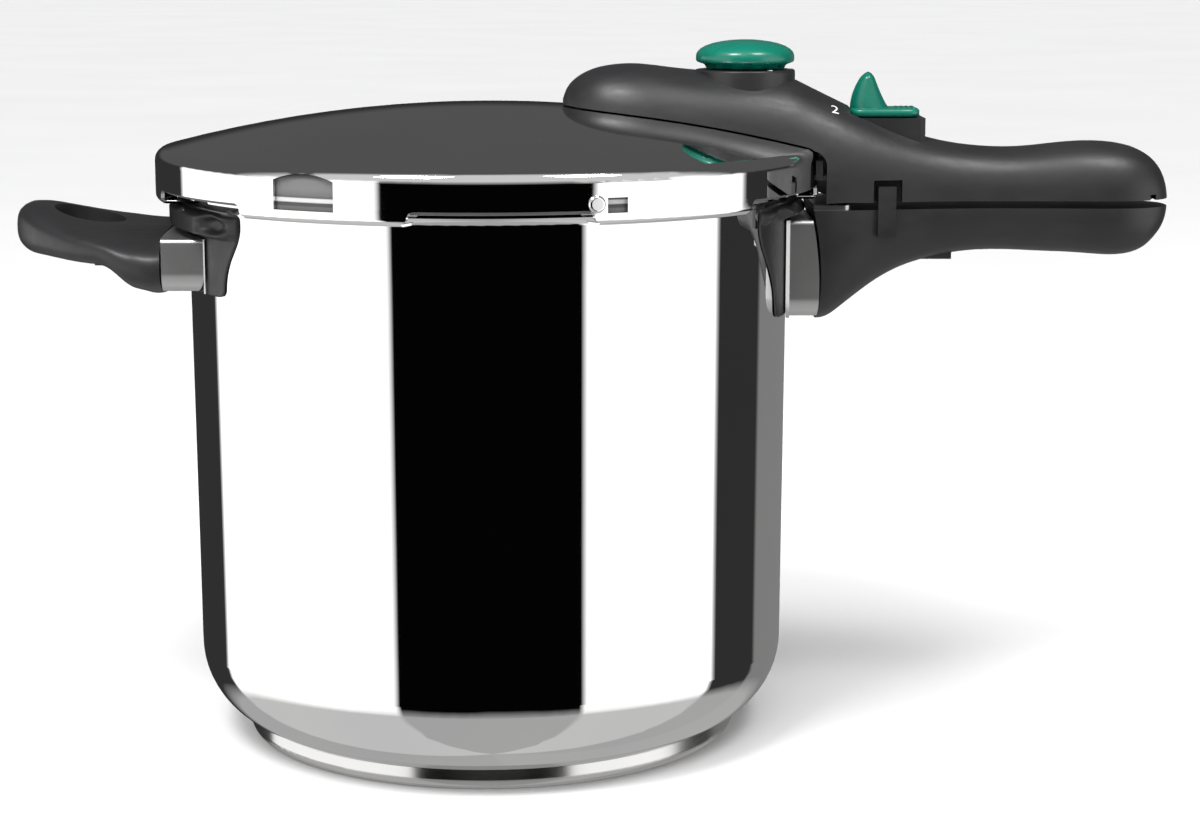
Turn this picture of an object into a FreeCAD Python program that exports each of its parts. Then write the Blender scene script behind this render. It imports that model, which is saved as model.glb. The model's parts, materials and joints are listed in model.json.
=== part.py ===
"""Stovetop pressure cooker: pot, bayonet lid that turns, two handles, valves and a lid lock.

Millimetres. The origin is on the pot's axis at the underside of the base, +Z is up, and +X points
along the two long handles. Angles are in degrees about +Z, counted from +X.
"""
import FreeCAD, Part
import math
import os

V = FreeCAD.Vector
UP = V(0, 0, 1)

# ---------------------------------------------------------------- pot
POT_FLOOR_Z = 5.0            # underside of the drawn pot, on top of the base core
POT_FLOOR_R = 80.0           # flat part of the floor
POT_CORNER_R = 30.0          # rounding between floor and wall
POT_TOP_R = 111.0            # the wall leans out by 1 mm from the corner up
POT_WALL = 1.0
RIM_Z = 204.0                # underside of the flared rim
RIM_R = 114.6                # edge of the rim between the lugs
FLARE_R = 3.0
LUG_COUNT = 6
LUG_PHASE = 4.3              # first lug's middle
POT_LUG_R = 120.7
POT_LUG_ANGLE = 24.0
BASE_CAP_R = 92.6
BASE_CAP_EDGE = 4.0          # rounding of the cap's lower edge
BASE_CAP_SHEET = 0.8

# ---------------------------------------------------------------- lid
LID_R = 122.6
LID_SHEET = 1.2
LID_APEX_Z = 235.5
DOME_R = 475.0
LID_CORNER_R = 4.5
SKIRT_Z = 206.9              # lower edge of the skirt between its lugs
LID_LUG_Z = 201.8            # underside of the lid's lugs
LID_LUG_INNER_R = 115.3
LID_LUG_HALF = 34.5          # half width of a lug where it leaves the skirt
LID_LUG_FOOT_HALF = 30.5
WINDOW_ANGLE = -117.85       # arched safety window in the skirt
WINDOW_HALF = 11.9
WINDOW_LOW_Z = 206.0
WINDOW_SIDE_Z = 216.0
WINDOW_TOP_Z = 218.3
STOP_ANGLE = -70.8           # pressed bump beside its small slot
SLOT_ANGLE = -67.3

# ---------------------------------------------------------------- long handles
GRIP_TOP_Z = 197.8           # flat top of the pot's handle
LID_GRIP_Z = 200.6           # flat underside of the lid's handle
SKIRT_GAP = 3.7              # between the lid's skirt and the lid handle
DOME_GAP = 0.4               # between the dome and the lid handle
KNOB_X = 95.0
BOSS_R = 18.5
BOSS_TOP_Z = 247.8
KNOB_SCALLOPS = 8
SLIDER_TRAVEL = 6.0
LATCH_THICK = 1.8
POT_SCREW_X = 152.0
POT_SCREW_SEAT_Z = 176.0
HELPER_SCREW_X = -130.0
HELPER_SCREW_Y = (-26.0, 26.0)
HELPER_SCREW_SEAT_Z = 174.6
LID_SCREW_X = 137.0
LID_SCREW_Y = (-13.0, 13.0)
LID_SCREW_SEAT_Z = 203.0
COVER_X = (158.0, 246.0)     # plate under the lid handle's grip
COVER_HALF = 15.2
COVER_THICK = 2.0
PAD_THICK = 1.6              # heat pads on the pot's wall
FERRULE_WALL = 1.2
FERRULE_FLARE = 1.25         # widening towards the pot, per mm along X
DECK_Z = 230.3               # flat deck that the lock slider runs on
DECK_END_X = 161.0
DECK_HALF = 12.0
TAB_X = (142.7, 149.2)       # stop tab on the pot handle's near side
TAB_Y = (-24.6, -19.6)
TAB_TOP_Z = 206.3
NOTCH_X = (141.0, 151.6)
NOTCH_TOP_Z = 208.6

COVER_SCREWS = [(161.0, 10.4), (243.0, 8.4)]      # x and length
COVER_HEAD_R = 2.6

# valve and screw places on the lid: x, y, radius of the pressed seat
REGULATOR = (KNOB_X, 0.0, 11.0)
SAFETY = (50.0, 0.0, 9.0)
INDICATOR = (102.0, 17.0, 6.0)
NOSE_SCREW = (34.0, 0.0, 6.0)
SEAL_THICK = 0.8
CUP_FLOOR = 1.6              # floor of a valve's cup
PLUNGER_SEAT = SEAL_THICK + CUP_FLOOR + 0.3
REGULATOR_STEM_LOW = 215.0
SPRING_CEILING_Z = 239.5     # flange of the knob's spindle, which loads the regulator's spring
SAFETY_CUP_HEIGHT = 9.4

# rounded outlines as (x, value) pairs, joined by a smooth curve
LID_GRIP_TOP = [(27.6, 237.0), (28.6, 239.8), (30.5, 242.8), (33.9, 245.6), (39.0, 248.0), (46.0, 249.5),
                (54.0, 249.9), (66.0, 248.7), (82.0, 247.2), (100.0, 246.4), (111.0, 245.0),
                (118.4, 241.7), (127.4, 237.3), (138.0, 232.2), (150.0, 227.0), (160.0, 223.6),
                (170.0, 221.2), (182.0, 219.6), (198.0, 219.4), (214.0, 221.0), (229.0, 221.2),
                (238.0, 219.6), (244.0, 216.8), (248.4, 212.6), (251.2, 206.8), (252.3, 202.6)]
LID_GRIP_HALF = [(27.6, 4.0), (28.6, 8.0), (30.5, 12.0), (33.9, 16.0), (39.0, 19.6), (46.0, 22.4),
                 (54.0, 24.2), (66.0, 25.4), (82.0, 26.0), (100.0, 26.2), (118.4, 26.2), (127.4, 25.8),
                 (138.0, 24.6), (150.0, 22.4), (160.0, 20.4), (170.0, 18.8), (182.0, 17.8),
                 (198.0, 17.6), (214.0, 18.4), (229.0, 18.8), (238.0, 17.6), (244.0, 15.0),
                 (248.4, 11.4), (251.2, 6.8), (252.3, 3.2)]
LID_GRIP_LOW = [(27.6, 226.0), (60.0, 221.0), (100.0, 212.0), (118.4, 200.6), (127.4, 200.6),
                (252.3, 200.6)]
POT_GRIP_LOW = [(114.0, 155.4), (121.0, 155.6), (126.0, 156.4), (131.0, 160.0), (138.0, 165.6),
                (146.0, 171.2), (155.0, 175.6), (166.0, 178.8), (178.0, 180.8), (192.0, 181.2),
                (206.0, 180.6), (222.0, 179.8), (235.0, 179.4), (241.0, 180.8), (246.0, 184.2),
                (249.6, 188.6), (251.6, 193.4), (252.2, 196.6)]
POT_GRIP_HALF = [(114.0, 26.0), (126.0, 25.6), (138.0, 23.8), (150.0, 21.2), (166.0, 18.6),
                 (178.0, 17.7), (192.0, 17.3), (206.0, 17.6), (222.0, 18.4), (235.0, 18.0),
                 (241.0, 16.2), (246.0, 13.2), (249.6, 9.6), (251.6, 5.8), (252.2, 3.2)]
HELPER_TOP = [(108.0, 190.6), (120.0, 190.8), (132.0, 191.3), (141.0, 192.6), (150.0, 194.5),
              (159.0, 196.8), (166.0, 198.5), (170.5, 198.8), (173.4, 197.2), (175.0, 194.0),
              (175.5, 190.5)]
HELPER_LOW = [(108.0, 168.6), (118.0, 167.6), (124.0, 168.8), (129.0, 171.2), (134.0, 175.8),
              (139.0, 177.8), (149.0, 178.4), (160.0, 179.6), (168.0, 180.6), (172.5, 182.8),
              (174.8, 185.6), (175.5, 187.6)]
HELPER_HALF = [(108.0, 54.0), (118.0, 53.6), (129.0, 51.2), (139.0, 46.8), (149.0, 40.8),
               (158.0, 33.6), (166.0, 25.4), (170.5, 18.8), (173.4, 12.6), (175.0, 7.0), (175.5, 3.4)]


# ---------------------------------------------------------------- building helpers
def box(x, y, z):
    """Box from its (low, high) pairs."""
    return Part.makeBox(x[1] - x[0], y[1] - y[0], z[1] - z[0], V(x[0], y[0], z[0]))


def rod(x, y, z, radius):
    """Upright cylinder; z is its (low, high) pair."""
    return Part.makeCylinder(radius, z[1] - z[0], V(x, y, z[0]))


def tube(x, y, z, inner, outer):
    return rod(x, y, z, outer).cut(rod(x, y, (z[0] - 1, z[1] + 1), inner))


def closed_wire(place, start, steps):
    """Closed wire. A step is a point, or a (middle, end) pair for an arc; place maps (a, b) to 3D."""
    edges = []
    here = start
    for step in list(steps) + [start]:
        if isinstance(step[0], tuple):
            middle, end = step
            edges.append(Part.Arc(place(here), place(middle), place(end)).toShape())
        else:
            end = step
            if place(here).distanceToPoint(place(end)) > 1e-6:
                edges.append(Part.LineSegment(place(here), place(end)).toShape())
        here = end
    return Part.Wire(edges)


def turned(start, *steps, x=0.0, y=0.0, first=0.0, sweep=360.0):
    """Solid of revolution about the upright line through (x, y), from a profile of (radius, z)."""
    face = Part.Face(closed_wire(lambda p: V(p[0], 0, p[1]), start, steps))
    face.rotate(V(0, 0, 0), UP, first)
    solid = face.revolve(V(0, 0, 0), UP, sweep)
    solid.translate(V(x, y, 0))
    return solid


def plate_up(z, start, *steps):
    """Flat outline of (x, y) points, raised between the two heights."""
    face = Part.Face(closed_wire(lambda p: V(p[0], p[1], z[0]), start, steps))
    return face.extrude(V(0, 0, z[1] - z[0]))


def radial_prism(angle, reach, start, *steps):
    """Outline of (sideways, z) points, pushed outwards between two radii along one direction."""
    face = Part.Face(closed_wire(lambda p: V(reach[0], p[0], p[1]), start, steps))
    solid = face.extrude(V(reach[1] - reach[0], 0, 0))
    solid.rotate(V(0, 0, 0), UP, angle)
    return solid


def value_at(pairs, x):
    """Smooth monotone curve through (x, value) pairs."""
    spans = [(b[0] - a[0], (b[1] - a[1]) / (b[0] - a[0])) for a, b in zip(pairs, pairs[1:])]
    slopes = [spans[0][1]]
    for (_, left), (_, right) in zip(spans, spans[1:]):
        slopes.append(0.0 if left * right <= 0 else 2 * left * right / (left + right))
    slopes.append(spans[-1][1])
    index = max(i for i in range(len(spans)) if x >= pairs[i][0] or i == 0)
    width = spans[index][0]
    t = (x - pairs[index][0]) / width
    low, high = pairs[index][1], pairs[index + 1][1]
    return (low * (1 + 2 * t) * (1 - t) ** 2 + high * t * t * (3 - 2 * t)
            + width * (slopes[index] * t * (1 - t) ** 2 - slopes[index + 1] * t * t * (1 - t)))


def arch_section(x, half, flat_z, crown_z, power=2.6, points=17):
    """Closed wire across X: a straight side at flat_z and a superellipse arch to crown_z."""
    arch = []
    for i in range(points):
        angle = math.pi * i / (points - 1)
        across = math.copysign(abs(math.cos(angle)) ** (2 / power), math.cos(angle))
        rise = abs(math.sin(angle)) ** (2 / power)
        arch.append(V(x, half * across, flat_z + (crown_z - flat_z) * rise))
    curve = Part.BSplineCurve()
    curve.interpolate(arch)
    return Part.Wire([curve.toShape(), Part.LineSegment(arch[-1], arch[0]).toShape()])


def oval_section(x, half, low_z, high_z, power=2.8, points=28):
    """Closed superellipse across X between two heights."""
    middle, rise = (low_z + high_z) / 2, (high_z - low_z) / 2
    ring = []
    for i in range(points):
        angle = 2 * math.pi * i / points
        across = math.copysign(abs(math.cos(angle)) ** (2 / power), math.cos(angle))
        up = math.copysign(abs(math.sin(angle)) ** (2 / power), math.sin(angle))
        ring.append(V(x, half * across, middle + rise * up))
    curve = Part.BSplineCurve()
    curve.interpolate(Points=ring, PeriodicFlag=True)
    return Part.Wire([curve.toShape()])


def screw(x, y, head_z, tip_z, head_r, head_h, shank_r, recessed=True):
    """Upright screw with a crossed recess. Its head is at head_z and its tip at tip_z."""
    way = 1 if tip_z > head_z else -1
    inner = head_z + way * head_h
    head = rod(x, y, (min(head_z, inner), max(head_z, inner)), head_r)
    shank = rod(x, y, (min(inner, tip_z), max(inner, tip_z)), shank_r)
    if not recessed:
        return head.fuse(shank)
    recess = (head_z - 0.01, head_z + head_h * 0.6) if way > 0 else (head_z - head_h * 0.6, head_z + 0.01)
    bar = box((x - head_r * 0.6, x + head_r * 0.6), (y - head_r * 0.14, y + head_r * 0.14), recess)
    cross = bar.copy()
    cross.rotate(V(x, y, 0), UP, 90)
    return head.fuse(shank).cut(bar).cut(cross).removeSplitter()


def coil_spring(x, y, z, radius, wire_r, turns):
    """Round-wire compression spring standing between two heights."""
    height = z[1] - z[0] - 2 * wire_r
    helix = Part.makeHelix(height / turns, height, radius)
    start = Part.Wire([Part.makeCircle(wire_r, V(radius, 0, 0), V(0, 1, 0))])
    solid = Part.Wire(helix.Edges).makePipeShell([start], True, True)
    solid.translate(V(x, y, z[0] + wire_r))
    return solid


def hexagon(x, y, z, across_flats, bore_r):
    corner = across_flats / math.sqrt(3)
    points = [(x + corner * math.cos(math.radians(60 * i)), y + corner * math.sin(math.radians(60 * i)))
              for i in range(6)]
    return plate_up(z, points[0], *points[1:]).cut(rod(x, y, (z[0] - 1, z[1] + 1), bore_r))


# ---------------------------------------------------------------- pot
def pot_profile(inset):
    """Filled pot outline, moved in from the outer skin by inset."""
    corner = POT_CORNER_R - inset
    turn = corner * math.sqrt(0.5)
    low = POT_FLOOR_Z + inset
    corner_z = POT_FLOOR_Z + POT_CORNER_R
    wall_low = POT_FLOOR_R + corner
    flare = FLARE_R + inset
    flare_x = POT_TOP_R + FLARE_R
    flare_z = RIM_Z - FLARE_R
    top = RIM_Z + inset
    return [(0, low), (POT_FLOOR_R, low),
            ((POT_FLOOR_R + turn, corner_z - turn), (wall_low, corner_z)),
            (flare_x - flare, flare_z),
            ((flare_x - flare * math.sqrt(0.5), flare_z + flare * math.sqrt(0.5)), (flare_x, top))]


def pot_filled():
    profile = pot_profile(0.0)
    return turned(profile[0], *profile[1:], (RIM_R, RIM_Z), (RIM_R, RIM_Z + POT_WALL), (0, RIM_Z + POT_WALL))


def pot_shell(filled):
    profile = pot_profile(POT_WALL)
    hollow = turned(profile[0], *profile[1:], (POT_TOP_R + FLARE_R, RIM_Z + 9), (0, RIM_Z + 9))
    shell = filled.cut(hollow)
    for i in range(LUG_COUNT):
        middle = LUG_PHASE + 360 / LUG_COUNT * i
        lug = turned((RIM_R - 0.8, RIM_Z), (POT_LUG_R - 1, RIM_Z), (POT_LUG_R, RIM_Z + 0.5),
                     (POT_LUG_R - 1, RIM_Z + POT_WALL), (RIM_R - 0.8, RIM_Z + POT_WALL),
                     first=middle - POT_LUG_ANGLE / 2, sweep=POT_LUG_ANGLE)
        shell = shell.fuse(lug)
    return shell.removeSplitter()


def base_cap(filled):
    sheet, edge = BASE_CAP_SHEET, BASE_CAP_EDGE
    turn = edge * math.sqrt(0.5)
    inner_turn = (edge - sheet) * math.sqrt(0.5)
    middle = BASE_CAP_R - edge
    cap = turned((0, 0), (middle, 0), ((middle + turn, edge - turn), (BASE_CAP_R, edge)),
                 (BASE_CAP_R, 9), (BASE_CAP_R - sheet, 9), (BASE_CAP_R - sheet, edge),
                 ((middle + inner_turn, edge - inner_turn), (middle, sheet)), (0, sheet))
    return cap.cut(filled)


def base_core(filled):
    sheet, edge = BASE_CAP_SHEET, BASE_CAP_EDGE
    inner_turn = (edge - sheet) * math.sqrt(0.5)
    middle = BASE_CAP_R - edge
    core = turned((0, sheet), (middle, sheet),
                  ((middle + inner_turn, edge - inner_turn), (BASE_CAP_R - sheet, edge)),
                  (BASE_CAP_R - sheet, 7.4), (0, 7.4))
    return core.cut(filled)


# ---------------------------------------------------------------- lid
def lid_filled(inset, floor_z):
    """Everything under the lid's skin, moved in by inset, down to floor_z."""
    centre_z = LID_APEX_Z - DOME_R
    arc_x = LID_R - LID_CORNER_R
    arc_z = centre_z + math.sqrt((DOME_R - LID_CORNER_R) ** 2 - arc_x ** 2)
    radius = DOME_R - inset
    corner = LID_CORNER_R - inset
    lean = math.atan2(arc_x, arc_z - centre_z)
    meet = (radius * math.sin(lean), centre_z + radius * math.cos(lean))
    halfway = (radius * math.sin(lean / 2), centre_z + radius * math.cos(lean / 2))
    bend = (math.pi / 2 + lean) / 2
    elbow = (arc_x + corner * math.sin(bend), arc_z + corner * math.cos(bend))
    return turned((0, floor_z), (0, LID_APEX_Z - inset), (halfway, meet),
                  (elbow, (LID_R - inset, arc_z)), (LID_R - inset, floor_z))


def dome_z(x, y=0.0):
    """Height of the dome's outer face."""
    return LID_APEX_Z - DOME_R + math.sqrt(DOME_R ** 2 - x * x - y * y)


def pressed_seat(outer, inner, x, y, radius):
    """Flat round seat pressed into the dome, joined to it by a short upright wall."""
    top = dome_z(x, y)
    low = top - LID_SHEET
    wall = tube(x, y, (low - 9, top + 9), radius - LID_SHEET, radius)
    above = outer.fuse(rod(x, y, (low - 20, top), radius + 1))
    below = inner.common(rod(x, y, (low - 20, low), radius + 1))
    return wall.common(above.cut(below)).fuse(rod(x, y, (low, top), radius))


def lid_lug_ring():
    """Skirt extension that turns in under the pot's lugs, all the way round."""
    sheet = LID_SHEET
    bend = 2.2
    turn = bend * math.sqrt(0.5)
    inner_turn = (bend - sheet) * math.sqrt(0.5)
    middle_r, middle_z = LID_R - bend, LID_LUG_Z + bend
    return turned((LID_LUG_INNER_R, LID_LUG_Z), (middle_r, LID_LUG_Z),
                  ((middle_r + turn, middle_z - turn), (LID_R, middle_z)), (LID_R, SKIRT_Z + 0.6),
                  (LID_R - sheet, SKIRT_Z + 0.6), (LID_R - sheet, middle_z),
                  ((middle_r + inner_turn, middle_z - inner_turn), (middle_r, LID_LUG_Z + sheet)),
                  (LID_LUG_INNER_R, LID_LUG_Z + sheet))


def lug_outline(angle):
    """Outline of one lid lug: an S-curve at each side between the skirt's edge and the foot."""
    wide, narrow = LID_LUG_HALF, LID_LUG_FOOT_HALF
    middle = (wide + narrow) / 2
    step_z = (SKIRT_Z + LID_LUG_Z) / 2 + 0.4
    quarter = 0.22 * (wide - narrow)
    high, low = SKIRT_Z, LID_LUG_Z + 0.8
    up_z, down_z = (high + step_z) / 2 + 0.5, (low + step_z) / 2 - 0.5
    return radial_prism(angle, (100, 130),
                        (-wide, high), (-wide, high + 0.7), (wide, high + 0.7), (wide, high),
                        ((middle + quarter, up_z), (middle, step_z)),
                        ((middle - quarter, down_z), (narrow, low)),
                        (narrow, LID_LUG_Z - 1), (-narrow, LID_LUG_Z - 1), (-narrow, low),
                        ((quarter - middle, down_z), (-middle, step_z)),
                        ((-middle - quarter, up_z), (-wide, high)))


def lid_shell():
    outer = lid_filled(0.0, SKIRT_Z)
    inner = lid_filled(LID_SHEET, SKIRT_Z - 30)
    shell = outer.cut(inner)
    ring = lid_lug_ring()
    for i in range(LUG_COUNT):
        shell = shell.fuse(ring.common(lug_outline(LUG_PHASE + 360 / LUG_COUNT * i)))
    window = radial_prism(WINDOW_ANGLE, (112, 130), (-WINDOW_HALF, WINDOW_LOW_Z),
                          (WINDOW_HALF, WINDOW_LOW_Z), (WINDOW_HALF, WINDOW_SIDE_Z),
                          ((0, WINDOW_TOP_Z), (-WINDOW_HALF, WINDOW_SIDE_Z)))
    slot = radial_prism(SLOT_ANGLE, (112, 130), (-3.6, 205.9), (3.6, 205.9), (3.6, 211), (-3.6, 211))
    bump = Part.makeCylinder(3.0, 2.2, V(LID_R - 1.0, 0, 209), V(1, 0, 0))
    bump = bump.makeFillet(1.0, [max(bump.Edges, key=lambda e: e.CenterOfMass.x)])
    bump.rotate(V(0, 0, 0), UP, STOP_ANGLE)
    shell = shell.cut(window).cut(slot).fuse(bump)
    for x, y, radius in (REGULATOR, SAFETY, INDICATOR, NOSE_SCREW):
        seat = pressed_seat(outer, inner, x, y, radius)
        shell = shell.cut(rod(x, y, (200, 250), radius)).fuse(seat)
    for (x, y, _), bore in ((REGULATOR, 5.0), (SAFETY, 4.0), (INDICATOR, 3.0), (NOSE_SCREW, 2.0)):
        shell = shell.cut(rod(x, y, (200, 250), bore))
    return shell


def lid_gasket():
    """Silicone ring with two lips that open inwards."""
    return turned((118.9, 205.5), (120.9, 205.9), (120.9, 215.4), ((120.1, 217.5), (118.1, 218.6)),
                  (109.4, 220.7), (109.2, 219.0), (116.6, 217.0), ((118.2, 215.9), (118.9, 214.2)),
                  (118.9, 209.4), ((118.2, 208.3), (117.0, 207.9)), (111.6, 208.3), (111.4, 206.7))


# ---------------------------------------------------------------- pot's long handle
def ferrule_end(x_gap, half):
    """Everything inside the bulged end line of the long handle's ferrule."""
    place = lambda p: V(p[0] + x_gap, -half, p[1])
    wire = closed_wire(place, (90, 150), [(120.0, 150), ((121.4, 174), (117.6, 200)), (90, 200)])
    return Part.Face(wire).extrude(V(0, 2 * half, 0))


def rounded_bar(y_half, z, low_r, high_r, x):
    """Bar along X with rounded lower and upper long edges."""
    bar = box(x, (-y_half, y_half), z)
    lower = [e for e in bar.Edges if abs(e.CenterOfMass.z - z[0]) < 1e-6 and e.Length > x[1] - x[0] - 1e-6
             and abs(abs(e.CenterOfMass.y) - y_half) < 1e-6]
    bar = bar.makeFillet(low_r, lower)
    upper = [e for e in bar.Edges if abs(e.CenterOfMass.z - z[1]) < 1e-6
             and abs(abs(e.CenterOfMass.y) - y_half) < 1e-6]
    return bar.makeFillet(high_r, upper)


def flared_plan(half, flare_half, front_x, neck_x, pot_x, z):
    """Plan of a ferrule that widens towards the pot."""
    return plate_up(z, (front_x, -half), (front_x, half), (neck_x, half), (pot_x, flare_half),
                    (pot_x - 20, flare_half), (pot_x - 20, -flare_half), (pot_x, -flare_half),
                    (neck_x, -half))


def ferrule_solid(side, half, z, reach_x, neck_x, pot_x):
    """Filled ferrule on the +X side, or mirrored to -X with side = -1."""
    flare = half + (neck_x - pot_x) * FERRULE_FLARE
    core = rounded_bar(half, z, 8.0, 1.6, (60, reach_x))
    wings = rounded_bar(flare, z, 8.0, 1.6, (60, neck_x))
    plan = flared_plan(half, flare, reach_x, neck_x, pot_x, (z[0] - 5, z[1] + 5))
    solid = core.fuse(wings).common(plan)
    if side < 0:
        solid = solid.mirror(V(0, 0, 0), V(1, 0, 0))
    return solid


FERRULE = dict(side=1, half=26.0, z=(158.4, 194.4), reach_x=122.0, neck_x=110.6, pot_x=105.6)
HELPER_FERRULE = dict(side=-1, half=54.0, z=(171.2, 190.6), reach_x=118.0, neck_x=99.0, pot_x=90.4)


def inner_bar(spec, wall):
    """Hollow of a ferrule."""
    side = spec["side"]
    z = (spec["z"][0] + wall, spec["z"][1] - wall)
    bar = rounded_bar(spec["half"] - wall, z, 7.0, 1.0, (60, 140))
    return bar if side > 0 else bar.mirror(V(0, 0, 0), V(1, 0, 0))


def pot_handle_ferrule(filled):
    body = ferrule_solid(**FERRULE).common(ferrule_end(0.0, 60))
    body = body.cut(inner_bar(FERRULE, FERRULE_WALL)).cut(filled)
    return body.cut(pad_plate(1, (158, 203.5), 40, PAD_THICK))


def helper_end(gap):
    """Everything between the pot's axis and the bulged end line of the helper's ferrule."""
    half, edge, middle = 70, 112.4, 116.4
    return plate_up((120, 240), (-60, -half), (-60, half), (-edge - gap, half),
                    ((-middle - gap, 0), (-edge - gap, -half)))


def helper_ferrule(filled):
    body = ferrule_solid(**HELPER_FERRULE).common(helper_end(0.0))
    body = body.cut(inner_bar(HELPER_FERRULE, FERRULE_WALL)).cut(filled)
    return body.cut(pad_plate(-1, (165, 203.5), 50, PAD_THICK))


def pad_plate(side, z, half_angle, thickness):
    """Thin curved plate on the pot's wall."""
    middle = 0 if side > 0 else 180
    return turned((105, z[0]), (POT_TOP_R + thickness, z[0]), (POT_TOP_R + thickness, z[1]), (105, z[1]),
                  first=middle - half_angle, sweep=2 * half_angle)


def heat_pad(filled, spec, half_angle, low_z, outline, lip_r):
    """Black pad between pot and ferrule, with a raised ear and a pocket at each side."""
    side = spec["side"]
    middle = 0 if side > 0 else 180
    plate_r = POT_TOP_R + PAD_THICK
    lean_z = 181.0
    pad = turned((105, low_z), (plate_r, low_z), (plate_r, lean_z), (lip_r, 194.5), (lip_r, 200.0),
                 (lip_r - 1.2, 201.2), (114.9, 201.2), (114.9, 203.4), (105, 203.4),
                 first=middle - half_angle, sweep=2 * half_angle)
    pad = pad.common(radial_prism(middle, (60, 140), outline[0], *outline[1:]))
    for hand in (-1, 1):
        first = middle + hand * (half_angle - 5.4) - 3.4
        pad = pad.cut(turned((113.6, 192), (lip_r - 1.6, 196), (lip_r - 1.6, 209), (113.6, 209),
                             first=first, sweep=6.8))
    pad = pad.cut(ferrule_solid(**spec).cut(pad_plate(side, (100, 240), 60, PAD_THICK)))
    return pad.cut(filled)


def pot_handle_pad(filled):
    outline = [(-34, 160), (34, 160), ((40, 162.4), (44, 169)), (48.5, 179), (57, 192),
               ((60.5, 198.6), (56, 204)), (-56, 204), ((-60.5, 198.6), (-57, 192)), (-48.5, 179),
               (-44, 169), ((-40, 162.4), (-34, 160))]
    pad = heat_pad(filled, FERRULE, 32.6, 160.0, outline, 119.4)
    return pad.cut(box((117.4, 140), (-27, 27), (150, 210))).cut(pot_handle_bracket(filled))


def helper_pad(filled):
    outline = [(-62, 171), (62, 171), ((68, 173), (70, 178)), (76, 190), ((80.5, 198), (72, 204)),
               (-72, 204), ((-80.5, 198), (-76, 190)), (-70, 178), ((-68, 173), (-62, 171))]
    return heat_pad(filled, HELPER_FERRULE, 43.2, 171.0, outline, 119.8).cut(helper_bracket(filled))


def pot_handle_bracket(filled):
    """Curved foot welded to the pot, with a tang that carries the grip."""
    foot = pad_plate(1, (166, 190), 7.6, 1.4)
    tang = box((105, 172), (-7, 7), (178, 186))
    return foot.fuse(tang).cut(filled).cut(rod(POT_SCREW_X, 0, (150, 210), 2.5)).removeSplitter()


def pot_handle_screw(recessed=True):
    return screw(POT_SCREW_X, 0, POT_SCREW_SEAT_Z, 191.0, 4.2, 2.0, 2.5, recessed)


def stop_tab():
    return box(TAB_X, TAB_Y, (188.0, TAB_TOP_Z))


def pot_handle_grip(filled):
    stations = [x for x, _ in POT_GRIP_LOW]
    sections = [arch_section(x, value_at(POT_GRIP_HALF, x), GRIP_TOP_Z, value_at(POT_GRIP_LOW, x))
                for x in stations]
    grip = Part.makeLoft(sections, True, False)
    grip = grip.cut(ferrule_end(1.0, 60)).fuse(stop_tab())
    well = rod(POT_SCREW_X, 0, (150, POT_SCREW_SEAT_Z), 4.6)
    grip = grip.cut(pot_handle_bracket(filled)).cut(pot_handle_screw(False)).cut(well)
    return grip.cut(latch_plate_screws(False)).removeSplitter()


def pot_latch_plate():
    """Steel plate on the pot handle, with the notch that the lid lock's foot stands over."""
    plate = box((119.2, 133.0), (-24.4, 24.4), (GRIP_TOP_Z, GRIP_TOP_Z + LATCH_THICK))
    corners = [e for e in plate.Edges if abs(e.CenterOfMass.x - 133) < 1e-6
               and abs(e.Length - LATCH_THICK) < 1e-6]
    plate = plate.makeFillet(3.0, corners)
    plate = plate.cut(box((128.6, 134), (-3.7, 3.7), (190, 210)))
    return plate.cut(latch_plate_screws(False))


def latch_plate_screws(recessed=True):
    top = GRIP_TOP_Z + LATCH_THICK
    pair = [screw(126.0, y, top, 188.0, 2.8, 1.5, 1.5, recessed) for y in (-15.0, 15.0)]
    return Part.makeCompound(pair)


# ---------------------------------------------------------------- helper handle
def helper_bracket(filled):
    """Curved foot welded to the pot, with two tangs."""
    foot = pad_plate(-1, (173, 189), 17.0, 1.4)
    for y in HELPER_SCREW_Y:
        foot = foot.fuse(box((-142, -100), (y - 5, y + 5), (178.5, 184.5)))
        foot = foot.cut(rod(HELPER_SCREW_X, y, (150, 210), 2.0))
    return foot.cut(filled).removeSplitter()


def helper_screws(recessed=True):
    pair = [screw(HELPER_SCREW_X, y, HELPER_SCREW_SEAT_Z, 188.5, 3.6, 1.8, 2.0, recessed)
            for y in HELPER_SCREW_Y]
    return Part.makeCompound(pair)


def helper_grip(filled):
    stations = sorted({x for x, _ in HELPER_TOP} | {x for x, _ in HELPER_LOW})
    sections = [oval_section(-x, value_at(HELPER_HALF, x), value_at(HELPER_LOW, x), value_at(HELPER_TOP, x))
                for x in stations]
    grip = Part.makeLoft(sections, True, False)
    hole = Part.makeCylinder(17.0, 60, V(0, 0, 160))
    stretch = FreeCAD.Matrix()
    stretch.scale(V(0.76, 1.0, 1.0))
    hole = hole.transformGeometry(stretch)
    hole.translate(V(-149, 0, 0))
    grip = grip.cut(hole).cut(helper_end(0.7))
    for y in HELPER_SCREW_Y:
        grip = grip.cut(rod(HELPER_SCREW_X, y, (150, HELPER_SCREW_SEAT_Z), 4.0))
    return grip.cut(helper_bracket(filled)).cut(helper_screws(False))


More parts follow.
